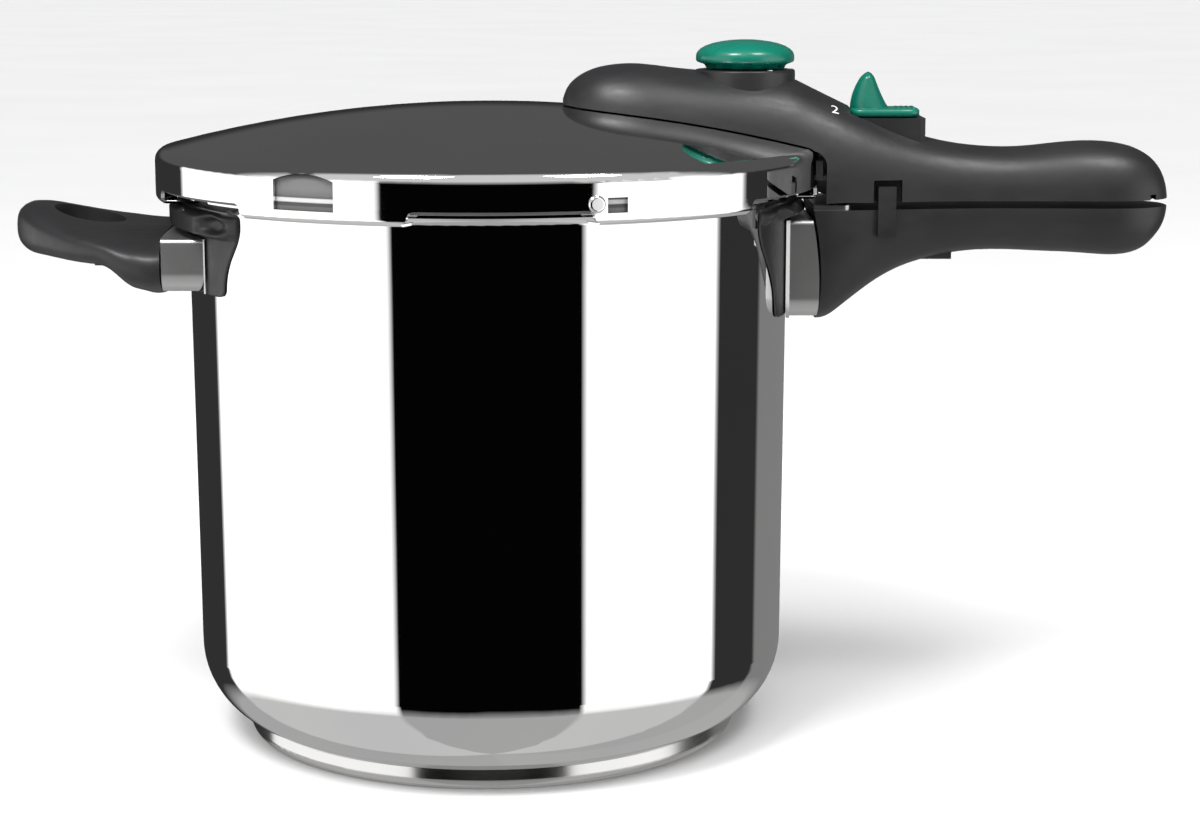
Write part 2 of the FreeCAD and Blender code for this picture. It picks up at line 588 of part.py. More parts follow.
# ---------------------------------------------------------------- lid handle
def lid_handle_body():
    """Outer form of the lid's handle, from its nose on the dome to the end of the grip."""
    stations = [x for x, _ in LID_GRIP_TOP]
    sections = [arch_section(x, value_at(LID_GRIP_HALF, x), value_at(LID_GRIP_LOW, x),
                             value_at(LID_GRIP_TOP, x)) for x in stations]
    body = Part.makeLoft(sections, True, False)
    boss = rod(KNOB_X, 0, (228, BOSS_TOP_Z), BOSS_R)
    boss = boss.makeFillet(0.8, [max(boss.Edges, key=lambda e: e.CenterOfMass.z)])
    deck = plate_up((212, DECK_Z), (130, -DECK_HALF), (DECK_END_X - 2, -DECK_HALF),
                    (DECK_END_X, 2 - DECK_HALF), (DECK_END_X, DECK_HALF - 2), (DECK_END_X - 2, DECK_HALF),
                    (130, DECK_HALF))
    ramp_cut = box((133.2, 162), (-DECK_HALF - 0.6, DECK_HALF + 0.6), (DECK_Z, 245))
    return body.fuse(boss).cut(ramp_cut).fuse(deck)


def lid_envelope():
    """Space that the lid needs under its handle."""
    dome = lid_filled(-DOME_GAP, 190.0)
    skirt = turned((0, 190), (LID_R + SKIRT_GAP, 190), (LID_R + SKIRT_GAP, 214.0),
                   ((LID_R + SKIRT_GAP - 1.4, 217.4), (LID_R - 1, 219.4)), (0, 219.4))
    return dome.fuse(skirt)


def bar_outline(z, grow=0.0, travel=0.0):
    """The lock bar's plan: an arm beside the valve, a slanted link and a tongue under the slider."""
    return plate_up(z, (92 - grow, 14.8 - grow), (107 - grow, 14.8 - grow), (113 - grow, -4 - grow),
                    (152 + grow + travel, -4 - grow), (152 + grow + travel, 4 + grow),
                    (118 + grow + travel, 4 + grow), (110 + grow + travel, 18.8 + grow),
                    (92 - grow, 18.8 + grow))


def lid_handle_hollows():
    """Rooms inside the lid's handle for the valves, the lock and the grip's hollow."""
    rooms = [rod(KNOB_X, 0, (210, 242.0), 13.0), rod(SAFETY[0], 0, (220, 243.5), 10.0),
             rod(INDICATOR[0], INDICATOR[1], (212, 231.6), 4.8),
             bar_outline((219.0, 229.0), 0.5, SLIDER_TRAVEL),
             box((129.4, 142.6), (-3.6, 3.6), (195, 227)),
             box((142.4, 155.6), (-3.2, 3.2), (228, 232)),
             box((164, 240), (-13.0, 13.0), (LID_GRIP_Z, 213.5)),
             rod(KNOB_X, 0, (240, 250), 4.05)]
    for x, y, radius in (INDICATOR, NOSE_SCREW):
        rooms.append(rod(x, y, (212, dome_z(x, y) + DOME_GAP), radius + 0.5))
    hollow = rooms[0]
    for room in rooms[1:]:
        hollow = hollow.fuse(room)
    return hollow


def lid_handle_shell():
    shell = lid_handle_body().cut(lid_envelope()).cut(lid_handle_hollows())
    notch = box(NOTCH_X, (-40, TAB_Y[1] + 0.7), (190, NOTCH_TOP_Z))
    cover_room = box(COVER_X, (-COVER_HALF, COVER_HALF), (LID_GRIP_Z - 1, LID_GRIP_Z + COVER_THICK))
    shell = shell.cut(notch).cut(cover_room)
    shell = shell.cut(lid_handle_bracket(LID_R)).cut(lid_handle_screws(False)).cut(nose_screw())
    for y in LID_SCREW_Y:
        shell = shell.cut(rod(LID_SCREW_X, y, (195, LID_SCREW_SEAT_Z), 3.9))
    return shell.cut(cover_screws(False)).removeSplitter()


def lid_handle_cover():
    """Plate that closes the hollow grip from below."""
    cover = box(COVER_X, (-COVER_HALF, COVER_HALF), (LID_GRIP_Z, LID_GRIP_Z + COVER_THICK))
    upright = [e for e in cover.Edges if abs(e.Length - COVER_THICK) < 1e-6 and e.CenterOfMass.x > 200]
    cover = cover.makeFillet(9.0, upright)
    cover = cover.common(lid_handle_body()).cut(cover_screws(False))
    for x, _ in COVER_SCREWS:
        cover = cover.cut(rod(x, 0, (LID_GRIP_Z - 1, LID_GRIP_Z + 1), COVER_HEAD_R))
    return cover


def cover_screws(recessed=True):
    low = LID_GRIP_Z + 0.3
    pair = [screw(x, 0, low, low + reach, COVER_HEAD_R, 1.2, 1.4, recessed) for x, reach in COVER_SCREWS]
    return Part.makeCompound(pair)


def lid_handle_bracket(skirt_r):
    """Foot welded to the skirt, with two ears that the rear screws pull the handle onto."""
    foot = turned((skirt_r, 208.2), (skirt_r + 1.5, 208.2), (skirt_r + 1.5, 215.4), (skirt_r, 215.4),
                  first=-8.6, sweep=17.2)
    for y in LID_SCREW_Y:
        ear = box((118, 143), (y - 4.2, y + 4.2), (208.2, 209.8))
        foot = foot.fuse(ear.cut(rod(0, 0, (200, 220), skirt_r)))
        foot = foot.cut(rod(LID_SCREW_X, y, (200, 220), 2.0))
    return foot.removeSplitter()


def lid_handle_screws(recessed=True):
    pair = [screw(LID_SCREW_X, y, LID_SCREW_SEAT_Z, 217.0, 3.5, 1.8, 2.0, recessed) for y in LID_SCREW_Y]
    return Part.makeCompound(pair)


def nose_screw():
    x, y, _ = NOSE_SCREW
    under = dome_z(x, y) - LID_SHEET - 0.8
    return screw(x, y, under - 2.0, 243.0, 4.0, 2.0, 2.0)


def nose_screw_washer():
    x, y, _ = NOSE_SCREW
    under = dome_z(x, y) - LID_SHEET
    return tube(x, y, (under - 0.8, under), 2.0, 4.6)


# ---------------------------------------------------------------- valves
def valve_body(place, stem_r, bore_r, cup_r, cup_inner_r, stem_low, cup_high):
    """Brass body: a stem through the lid, a flange on its seal and a cup that holds the plunger."""
    x, y, _ = place
    seat = dome_z(x, y) + SEAL_THICK
    body = rod(x, y, (stem_low, seat + 1), stem_r)
    body = body.fuse(rod(x, y, (seat, seat + 2.4), cup_r + 1.2)).fuse(rod(x, y, (seat, cup_high), cup_r))
    body = body.cut(rod(x, y, (stem_low - 1, cup_high + 1), bore_r))
    return body.cut(rod(x, y, (seat + CUP_FLOOR, cup_high + 1), cup_inner_r)).removeSplitter()


def valve_seal(place, stem_r, outer_r):
    x, y, _ = place
    return tube(x, y, (dome_z(x, y), dome_z(x, y) + SEAL_THICK), stem_r, outer_r)


def valve_nut(place, stem_r, across_flats, height):
    x, y, _ = place
    under = dome_z(x, y) - LID_SHEET
    return hexagon(x, y, (under - height, under), across_flats, stem_r)


def valve_plunger(place, head_r, bore_r, height):
    """Plunger with a cone that closes the bore and a spigot that centres its spring."""
    x, y, _ = place
    low = dome_z(x, y) + PLUNGER_SEAT
    return turned((0, low - 1.6), (bore_r * 0.55, low - 1.6), (bore_r * 0.9, low), (head_r, low),
                  (head_r, low + height), (head_r * 0.42, low + height),
                  (head_r * 0.42, low + height + 2.2), (0, low + height + 2.2), x=x, y=y)


def plunger_top(place, height):
    return dome_z(place[0], place[1]) + PLUNGER_SEAT + height


def regulator_filter():
    """Perforated cap over the foot of the regulator's stem."""
    x, y, _ = REGULATOR
    cap = turned((5.0, 216.4), (5.0, 214.2), (0.0, 214.2), (0.0, 213.2), (7.0, 213.2),
                 ((7.8, 213.5), (8.0, 214.2)), (8.0, 219.4), (5.0, 219.4), x=x, y=y)
    for i in range(8):
        hole = Part.makeCylinder(0.9, 9, V(x, y, 215.2), V(1, 0, 0))
        hole.rotate(V(x, y, 0), UP, 45 * i + 22.5)
        cap = cap.cut(hole)
    return cap


def safety_cap():
    """Brass cap that keeps the safety valve's spring in its cup."""
    x, y, _ = SAFETY
    top = dome_z(x, y) + SAFETY_CUP_HEIGHT
    return tube(x, y, (top, top + 1.2), 1.6, 6.2)


def indicator_bush():
    x, y, _ = INDICATOR
    seat = dome_z(x, y)
    bush = rod(x, y, (216.6, seat + 0.1), 3.0).fuse(rod(x, y, (seat, seat + 1.2), 4.4))
    return bush.cut(rod(x, y, (210, 230), 1.5)).removeSplitter()


def indicator_nut():
    return valve_nut(INDICATOR, 3.0, 7.6, 2.6)


def indicator_pin():
    x, y, _ = INDICATOR
    return turned((0, 211.2), (2.4, 211.2), (2.4, 212.4), (1.42, 212.4), (1.42, 226.0), (1.0, 226.4),
                  (0, 226.4), x=x, y=y)


def indicator_seal():
    x, y, _ = INDICATOR
    ring = Part.makeTorus(2.05, 0.6, V(x, y, 213.0))
    return ring


# ---------------------------------------------------------------- selector knob and lid lock
def selector_knob():
    """Domed knob with scallops in its neck, under the rim."""
    low, neck_r, rim_r = BOSS_TOP_Z + 0.5, 14.0, 18.1
    knob = turned((0, low), (neck_r, low), (neck_r, low + 1.4), ((15.6, 250.9), (17.3, 251.5)),
                  ((rim_r, 252.4), (rim_r, 253.4)), ((16.8, 255.4), (13.4, 256.9)),
                  ((7.2, 258.3), (1.6, 258.7)), (0, 258.7), x=KNOB_X)
    for i in range(KNOB_SCALLOPS):
        scallop = rod(KNOB_X + neck_r + 1.2, 0, (low - 1, low + 2.4), 2.9)
        scallop.rotate(V(KNOB_X, 0, 0), UP, 360 / KNOB_SCALLOPS * (i + 0.5))
        knob = knob.cut(scallop)
    return knob.cut(knob_spindle())


def knob_spindle():
    """Shaft under the knob, with the flange that sets the spring's height."""
    shaft = rod(KNOB_X, 0, (SPRING_CEILING_Z + 0.1, 254.0), 4.0)
    return shaft.fuse(rod(KNOB_X, 0, (SPRING_CEILING_Z + 0.1, 241.5), 7.0)).removeSplitter()


def lock_slider():
    """Slide with a thumb fin."""
    plate = plate_up((DECK_Z + 0.4, 233.8), (137, -9.5), (158, -9.5), (159.4, -8), (159.4, 8), (158, 9.5),
                     (137, 9.5), (133.8, 7.0), (133.8, -7.0))
    fin_wire = closed_wire(lambda p: V(p[0], -6.0, p[1]), (133.8, 233.2),
                           [((136.0, 241.4), (139.6, 246.2)), ((140.6, 246.9), (141.5, 246.0)),
                            ((144.2, 240.4), (148.6, 233.2))])
    fin = Part.Face(fin_wire).extrude(V(0, 12.0, 0))
    stem = box((143, 149), (-2.8, 2.8), (228.4, DECK_Z + 1))
    return plate.fuse(fin).fuse(stem).cut(lock_rivet()).removeSplitter()


def lock_bar():
    """Bent steel bar: its foot stands over the latch plate, its slot lets the indicator rise."""
    bar = bar_outline((226.8, 228.4))
    foot = box((130.2, 133.6), (-3.0, 3.0), (LID_GRIP_Z - 0.5, 227.5))
    slot = box((94.4, 104.2), (INDICATOR[1] - 1.75, INDICATOR[1] + 1.75), (220, 235))
    return bar.fuse(foot).cut(slot).cut(lock_rivet()).removeSplitter()


def lock_rivet():
    return rod(146, 0, (226.0, 226.8), 2.6).fuse(rod(146, 0, (226.5, 232.4), 1.6)).removeSplitter()


# ---------------------------------------------------------------- the whole cooker
def build():
    filled = pot_filled()
    regulator_top = plunger_top(REGULATOR, 2.4)
    safety_top = plunger_top(SAFETY, 1.6)
    safety_cap_z = dome_z(SAFETY[0]) + SAFETY_CUP_HEIGHT
    return {
        "pot_shell": pot_shell(filled),
        "base_core": base_core(filled),
        "base_cap": base_cap(filled),
        "pot_handle_bracket": pot_handle_bracket(filled),
        "pot_handle_pad": pot_handle_pad(filled),
        "pot_handle_ferrule": pot_handle_ferrule(filled).cut(pot_handle_bracket(filled)),
        "pot_handle_grip": pot_handle_grip(filled),
        "pot_handle_screw": pot_handle_screw(),
        "pot_latch_plate": pot_latch_plate(),
        "latch_plate_screws": latch_plate_screws(),
        "helper_bracket": helper_bracket(filled),
        "helper_pad": helper_pad(filled),
        "helper_ferrule": helper_ferrule(filled).cut(helper_bracket(filled)),
        "helper_grip": helper_grip(filled),
        "helper_screws": helper_screws(),
        "lid_shell": lid_shell(),
        "lid_gasket": lid_gasket(),
        "lid_handle_shell": lid_handle_shell(),
        "lid_handle_cover": lid_handle_cover(),
        "lid_handle_bracket": lid_handle_bracket(LID_R),
        "lid_handle_screws": lid_handle_screws(),
        "cover_screws": cover_screws(),
        "nose_screw": nose_screw(),
        "nose_screw_washer": nose_screw_washer(),
        "regulator_body": valve_body(REGULATOR, 5.0, 2.6, 8.0, 6.4, REGULATOR_STEM_LOW, 234.4),
        "regulator_seal": valve_seal(REGULATOR, 5.0, 9.2),
        "regulator_nut": valve_nut(REGULATOR, 5.0, 15.0, 3.6),
        "regulator_filter": regulator_filter(),
        "regulator_plunger": valve_plunger(REGULATOR, 6.0, 2.6, 2.4),
        "regulator_spring": coil_spring(KNOB_X, 0, (regulator_top, SPRING_CEILING_Z), 4.2, 0.5, 5),
        "safety_body": valve_body(SAFETY, 4.0, 2.0, 6.2, 5.0, 226.0, safety_cap_z),
        "safety_seal": valve_seal(SAFETY, 4.0, 7.4),
        "safety_nut": valve_nut(SAFETY, 4.0, 12.0, 3.2),
        "safety_cap": safety_cap(),
        "safety_plunger": valve_plunger(SAFETY, 4.7, 2.0, 1.6),
        "safety_spring": coil_spring(SAFETY[0], SAFETY[1], (safety_top, safety_cap_z), 3.4, 0.5, 3),
        "indicator_bush": indicator_bush(),
        "indicator_nut": indicator_nut(),
        "indicator_pin": indicator_pin(),
        "indicator_seal": indicator_seal(),
        "selector_knob": selector_knob(),
        "knob_spindle": knob_spindle(),
        "lock_slider": lock_slider(),
        "lock_bar": lock_bar(),
        "lock_rivet": lock_rivet(),
    }


def main():
    os.makedirs("parts", exist_ok=True)
    for name, shape in build().items():
        solids = shape.Solids
        tidy = solids[0] if len(solids) == 1 else Part.makeCompound(solids)
        tidy.exportStep("parts/" + name + ".step")
        print(f"{name}: {len(solids)} solid, {tidy.Volume / 1000:.2f} cm3, valid {tidy.isValid()}")


main()
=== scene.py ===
"""Looks of a stovetop pressure cooker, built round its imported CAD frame. Metres, +Z up."""
import json
import math

import bmesh
import bpy
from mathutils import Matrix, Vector


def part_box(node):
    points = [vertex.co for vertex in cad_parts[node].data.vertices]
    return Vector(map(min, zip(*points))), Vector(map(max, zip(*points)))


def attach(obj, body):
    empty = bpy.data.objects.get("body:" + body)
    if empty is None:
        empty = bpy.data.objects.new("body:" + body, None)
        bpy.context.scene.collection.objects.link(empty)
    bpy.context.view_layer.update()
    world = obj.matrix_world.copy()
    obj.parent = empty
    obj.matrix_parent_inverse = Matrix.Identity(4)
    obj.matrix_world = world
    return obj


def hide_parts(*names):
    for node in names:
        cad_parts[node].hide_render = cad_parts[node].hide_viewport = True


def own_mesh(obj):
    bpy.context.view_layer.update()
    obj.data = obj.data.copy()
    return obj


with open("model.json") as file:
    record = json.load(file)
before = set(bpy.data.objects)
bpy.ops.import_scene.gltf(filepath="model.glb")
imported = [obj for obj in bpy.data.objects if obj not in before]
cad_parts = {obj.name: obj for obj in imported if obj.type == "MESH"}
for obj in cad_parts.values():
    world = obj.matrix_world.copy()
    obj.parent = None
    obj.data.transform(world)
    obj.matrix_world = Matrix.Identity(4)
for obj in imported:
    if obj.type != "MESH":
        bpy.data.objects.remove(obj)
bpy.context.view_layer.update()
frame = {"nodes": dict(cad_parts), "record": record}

NODES = frame["nodes"]
SUBPARTS = frame["record"]["subparts"]


# ---------------------------------------------------------------- node helpers
MIX_FACTOR, MIX_LOW, MIX_HIGH, MIX_RESULT = 0, 6, 7, 2   # a Mix node's colour sockets
PATTERN_LOW, PATTERN_HIGH = 0.3, 0.7                     # where most of a noise pattern lies
NOISE_ROUGHNESS = 0.55
EDGE_FROM, EDGE_FULL = 0.52, 0.62                        # pointiness at which an edge shows wear


def new_material(name):
    material = bpy.data.materials.new(name)
    material.use_nodes = True
    tree = material.node_tree
    return material, tree, tree.nodes["Principled BSDF"]


def add(tree, kind, **values):
    """Shader node with its settings, and its input sockets' values, by name."""
    node = tree.nodes.new(kind)
    for key, value in values.items():
        if hasattr(node, key):
            setattr(node, key, value)
        else:
            node.inputs[key.replace("_", " ").title()].default_value = value
    return node


def plug(tree, socket, value):
    """Fills an input socket with a node's output, a number, a colour or a grey level."""
    if isinstance(value, bpy.types.NodeSocket):
        tree.links.new(value, socket)
    elif socket.type != "RGBA":
        socket.default_value = value
    elif isinstance(value, float):
        socket.default_value = (value, value, value, 1)
    else:
        socket.default_value = (*value, 1)


def place(tree, stretch=(1, 1, 1)):
    """Object-space coordinates, in metres, stretched along an axis for drawn lines."""
    source = tree.nodes.new("ShaderNodeTexCoord")
    mapping = tree.nodes.new("ShaderNodeMapping")
    mapping.inputs["Scale"].default_value = stretch
    tree.links.new(source.outputs["Object"], mapping.inputs["Vector"])
    return mapping.outputs["Vector"]


def noise(tree, vector, scale, detail):
    node = add(tree, "ShaderNodeTexNoise", scale=scale, detail=detail, roughness=NOISE_ROUGHNESS)
    tree.links.new(vector, node.inputs["Vector"])
    return node.outputs["Fac"]


def spread(tree, value, low, high, start=PATTERN_LOW, end=PATTERN_HIGH):
    """Maps the values from start to end onto a range."""
    node = tree.nodes.new("ShaderNodeMapRange")
    node.inputs["From Min"].default_value = start
    node.inputs["From Max"].default_value = end
    node.inputs["To Min"].default_value = low
    node.inputs["To Max"].default_value = high
    tree.links.new(value, node.inputs["Value"])
    return node.outputs["Result"]


def tint(tree, value, dark, light):
    ramp = tree.nodes.new("ShaderNodeValToRGB")
    ends = ((PATTERN_LOW, dark), (PATTERN_HIGH, light))
    for element, (position, colour) in zip(ramp.color_ramp.elements, ends):
        element.position = position
        element.color = (*colour, 1)
    tree.links.new(value, ramp.inputs["Fac"])
    return ramp.outputs["Color"]


def ramp_of(tree, value, stops):
    """Grey levels along a 0 to 1 value, from (position, level) pairs."""
    ramp = tree.nodes.new("ShaderNodeValToRGB")
    elements = ramp.color_ramp.elements
    while len(elements) < len(stops):
        elements.new(0.5)
    for element, (position, level) in zip(elements, stops):
        element.position = position
        element.color = (level, level, level, 1)
    tree.links.new(value, ramp.inputs["Fac"])
    return ramp.outputs["Color"]


def blend(tree, factor, low, high):
    mix = add(tree, "ShaderNodeMix", data_type="RGBA")
    plug(tree, mix.inputs[MIX_FACTOR], factor)
    plug(tree, mix.inputs[MIX_LOW], low)
    plug(tree, mix.inputs[MIX_HIGH], high)
    return mix.outputs[MIX_RESULT]


def math_node(tree, operation, first, second):
    node = add(tree, "ShaderNodeMath", operation=operation)
    plug(tree, node.inputs[0], first)
    plug(tree, node.inputs[1], second)
    return node.outputs[0]


def edge_wear(tree, base, worn, amount):
    """Blends a colour towards the worn one where the surface turns sharply outwards."""
    geometry = tree.nodes.new("ShaderNodeNewGeometry")
    edge = spread(tree, geometry.outputs["Pointiness"], 0.0, amount, EDGE_FROM, EDGE_FULL)
    return blend(tree, edge, base, worn)


def bumps(tree, shader, layers):
    """Chain of bump layers of (pattern, strength, depth in metres)."""
    normal = None
    for pattern, strength, depth in layers:
        bump = add(tree, "ShaderNodeBump", strength=strength, distance=depth)
        tree.links.new(pattern, bump.inputs["Height"])
        if normal is not None:
            tree.links.new(normal, bump.inputs["Normal"])
        normal = bump.outputs["Normal"]
    tree.links.new(normal, shader.inputs["Normal"])


# ---------------------------------------------------------------- materials
ROUND_LINES = (1, 1, 30)       # stretch that leaves fine lines running round the pot
FINE_LINES = (1, 1, 60)
METAL_WEAR = 0.4
LINE_STRENGTH, SPECK_STRENGTH = 0.12, 0.05
SPECK_SHARE = 0.4              # of the lines' depth
PLASTIC_WEAR = 0.35
GRAIN_STRENGTH, MOTTLE_STRENGTH = 0.25, 0.06
MOTTLE_SHARE = 3               # of the grain's depth
PLASTIC_WORN_GAIN, PLASTIC_WORN_LIFT = 1.25, 0.002
PLASTIC_IOR = 1.52
PLASTIC_COAT_ROUGHNESS = 0.12

# slot: (dark, light, roughness range, stretch of the lines, their depth, extra wear)
METALS = {
    "polished_steel": ((0.90, 0.90, 0.90), (0.95, 0.95, 0.94), (0.015, 0.035),
                       ROUND_LINES, 0.000002, 0.0),
    "lid_steel": ((0.89, 0.89, 0.89), (0.94, 0.94, 0.93), (0.02, 0.045),
                  ROUND_LINES, 0.000002, 0.0),
    "ferrule_steel": ((0.70, 0.70, 0.70), (0.82, 0.82, 0.81), (0.34, 0.42),
                      FINE_LINES, 0.00003, 0.0),
    "base_steel": ((0.62, 0.62, 0.61), (0.74, 0.73, 0.72), (0.12, 0.26),
                   ROUND_LINES, 0.00001, 0.2),
    "aluminium_core": ((0.58, 0.58, 0.60), (0.72, 0.72, 0.74), (0.30, 0.46),
                       ROUND_LINES, 0.00002, 0.0),
    "bracket_steel": ((0.46, 0.46, 0.46), (0.62, 0.62, 0.61), (0.24, 0.38),
                      (1, 30, 1), 0.00002, 0.0),
    "turned_steel": ((0.54, 0.54, 0.54), (0.68, 0.68, 0.67), (0.18, 0.30),
                     FINE_LINES, 0.00001, 0.0),
    "spring_wire": ((0.40, 0.40, 0.42), (0.56, 0.56, 0.58), (0.22, 0.34),
                    (1, 1, 8), 0.00001, 0.0),
    "fastener_steel": ((0.50, 0.50, 0.51), (0.66, 0.66, 0.66), (0.20, 0.34),
                       (20, 1, 1), 0.00002, 0.0),
    "valve_brass": ((0.60, 0.44, 0.20), (0.76, 0.60, 0.32), (0.16, 0.30),
                    FINE_LINES, 0.00001, 0.0),
}
# name: (dark, light, roughness range, grain depth, coat)
PLASTICS = {
    "black_phenolic": ((0.012, 0.012, 0.013), (0.019, 0.019, 0.020), (0.36, 0.46), 0.00003, 0.0),
    "green_plastic": ((0.0, 0.118, 0.078), (0.001, 0.150, 0.100), (0.22, 0.34), 0.00001, 0.20),
    "silicone": ((0.10, 0.10, 0.105), (0.15, 0.15, 0.155), (0.46, 0.60), 0.00003, 0.0),
    "mark_paint": ((0.62, 0.62, 0.60), (0.78, 0.78, 0.76), (0.42, 0.60), 0.00001, 0.0),
}
# painted light on the gasket's outer wall: a pale painted highlight band between darker painted
# shade bands, over this height
GASKET_PAINTED_LIGHT_Z = (0.2060, 0.2130)
GASKET_PAINTED_LIGHT_STRENGTH = 0.75
# (share of the band's height, grey level) of the painted highlight band and the painted shade
# bands
GASKET_PAINTED_LIGHT_BANDS = [(0.0, 0.10), (0.18, 0.10), (0.22, 0.03), (0.36, 0.03), (0.42, 0.72),
                (0.56, 0.72), (0.62, 0.05), (0.72, 0.12), (1.0, 0.17)]


def metal(name, dark, light, rough, line_stretch, line_depth, stain):
    """Metal with faint drawn lines, handling marks and uneven polish."""
    material, tree, shader = new_material(name)
    shader.inputs["Metallic"].default_value = 1.0
    lines = noise(tree, place(tree, line_stretch), scale=60, detail=3)
    smears = noise(tree, place(tree), scale=18, detail=5)
    specks = noise(tree, place(tree), scale=900, detail=2)
    base = tint(tree, smears, dark, light)
    worn = edge_wear(tree, base, light, METAL_WEAR + stain)
    tree.links.new(worn, shader.inputs["Base Color"])
    tree.links.new(spread(tree, smears, rough[0], rough[1]), shader.inputs["Roughness"])
    bumps(tree, shader, [(lines, LINE_STRENGTH, line_depth),
                         (specks, SPECK_STRENGTH, line_depth * SPECK_SHARE)])
    return material


def plastic(name, dark, light, rough, grain_depth, coat):
    """Moulded plastic with a fine grain, slight mottling and paler edges."""
    material, tree, shader = new_material(name)
    shader.inputs["Coat Weight"].default_value = coat
    shader.inputs["Coat Roughness"].default_value = PLASTIC_COAT_ROUGHNESS
    shader.inputs["IOR"].default_value = PLASTIC_IOR
    grain = noise(tree, place(tree), scale=2600, detail=3)
    mottle = noise(tree, place(tree), scale=26, detail=5)
    scuffs = noise(tree, place(tree, (1, 6, 3)), scale=90, detail=4)
    base = tint(tree, mottle, dark, light)
    worn = tuple(min(1.0, level * PLASTIC_WORN_GAIN + PLASTIC_WORN_LIFT) for level in light)
    tree.links.new(edge_wear(tree, base, worn, PLASTIC_WEAR), shader.inputs["Base Color"])
    tree.links.new(spread(tree, scuffs, rough[0], rough[1]), shader.inputs["Roughness"])
    bumps(tree, shader, [(grain, GRAIN_STRENGTH, grain_depth),
                         (mottle, MOTTLE_STRENGTH, grain_depth * MOTTLE_SHARE)])
    return material


def paint_gasket_light_bands(material):
    """Paints a pale highlight band between darker painted shade bands onto the gasket's outer
    wall.
    """
    tree = material.node_tree
    shader = tree.nodes["Principled BSDF"]
    split = tree.nodes.new("ShaderNodeSeparateXYZ")
    tree.links.new(place(tree), split.inputs[0])
    height = spread(tree, split.outputs["Z"], 0.0, 1.0, GASKET_PAINTED_LIGHT_Z[0], GASKET_PAINTED_LIGHT_Z[1])
    painted_light = ramp_of(tree, height, GASKET_PAINTED_LIGHT_BANDS)
    mottle = shader.inputs["Base Color"].links[0].from_socket
    with_painted_light = blend(tree, GASKET_PAINTED_LIGHT_STRENGTH, mottle, painted_light)
    tree.links.new(with_painted_light, shader.inputs["Base Color"])


def make_materials():
    """One material for each of the record's slots, and the paint of the marks."""
    materials = {name: metal(name, *looks) for name, looks in METALS.items()}
    for name, looks in PLASTICS.items():
        materials[name] = plastic(name, *looks)
    # painted highlight and painted shade bands on the gasket
    paint_gasket_light_bands(materials["silicone"])
    return materials


def dress_nodes(materials):
    """Gives every CAD node the material of its slot, whatever slots its mesh came with."""
    for part in SUBPARTS:
        mesh = NODES[part["node"]].data
        mesh.materials.clear()
        mesh.materials.append(materials[part["material_slot"]])


# ---------------------------------------------------------------- mesh helpers
SOFT_BOX_POWER = 5.0           # 2 is an ellipse, and more is squarer
SOFT_BOX_POINTS = 72


def piece(name, body, material, vertices, faces, smooth=True):
    """Named mesh piece that rides a body and fills a slot."""
    mesh = bpy.data.meshes.new(name)
    mesh.from_pydata([tuple(v) for v in vertices], [], faces)
    shaped = bmesh.new()
    shaped.from_mesh(mesh)
    bmesh.ops.recalc_face_normals(shaped, faces=shaped.faces)
    shaped.to_mesh(mesh)
    shaped.free()
    mesh.materials.append(material)
    for polygon in mesh.polygons:
        polygon.use_smooth = smooth
    obj = bpy.data.objects.new(name, mesh)
    bpy.context.scene.collection.objects.link(obj)
    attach(obj, body)
    return obj


def rings(loops):
    """Points and faces that join equal loops of points into a closed skin."""
    count = len(loops[0])
    vertices = [point for loop in loops for point in loop]
    faces = []
    for i in range(len(loops) - 1):
        here, above = i * count, (i + 1) * count
        for j in range(count):
            k = (j + 1) % count
            faces.append((here + j, here + k, above + k, above + j))
    faces.append(tuple(range(count)))
    faces.append(tuple((len(loops) - 1) * count + j for j in range(count)))
    return vertices, faces


def closed_sheet(skin, back, rows, columns):
    """Closed solid between two equal grids of points."""
    across = columns + 1
    offset = len(skin)
    faces = []
    for i in range(rows):
        for j in range(columns):
            a = i * across + j
            quad = (a, a + 1, a + across + 1, a + across)
            faces.append(quad)
            faces.append(tuple(index + offset for index in reversed(quad)))
    border = list(range(across))
    border += [i * across + columns for i in range(1, rows + 1)]
    border += [rows * across + j for j in range(columns - 1, -1, -1)]
    border += [i * across for i in range(rows - 1, 0, -1)]
    for first, second in zip(border, border[1:] + border[:1]):
        faces.append((second, first, first + offset, second + offset))
    return skin + back, faces


def soft_box_loop(middle, half_x, half_y, z):
    """Rounded rectangle at one height."""
    loop = []
    for i in range(SOFT_BOX_POINTS):
        angle = 2 * math.pi * i / SOFT_BOX_POINTS
        across = math.copysign(abs(math.cos(angle)) ** (2 / SOFT_BOX_POWER), math.cos(angle))
        along = math.copysign(abs(math.sin(angle)) ** (2 / SOFT_BOX_POWER), math.sin(angle))
        loop.append(Vector((middle.x + half_x * across, middle.y + half_y * along, z)))
    return loop


def smooth_step(t):
    t = min(max(t, 0.0), 1.0)
    return t * t * (3 - 2 * t)


def quarter_round(t):
    """Height of a quarter circle at a 0 to 1 distance from its foot."""
    return math.sqrt(max(1 - max(t, 0) ** 2, 0))


# ---------------------------------------------------------------- selector knob
KNOB_POINTS = 192              # round each loop
KNOB_SCALLOPS = 12
# the scallops' depth, where they begin and over what they deepen, as shares of the knob's size
SCALLOP_DEPTH = 0.055
SCALLOP_FROM_R, SCALLOP_OVER_R = 0.5, 0.25
SCALLOP_BELOW, SCALLOP_OVER_HEIGHT = 0.24, 0.12
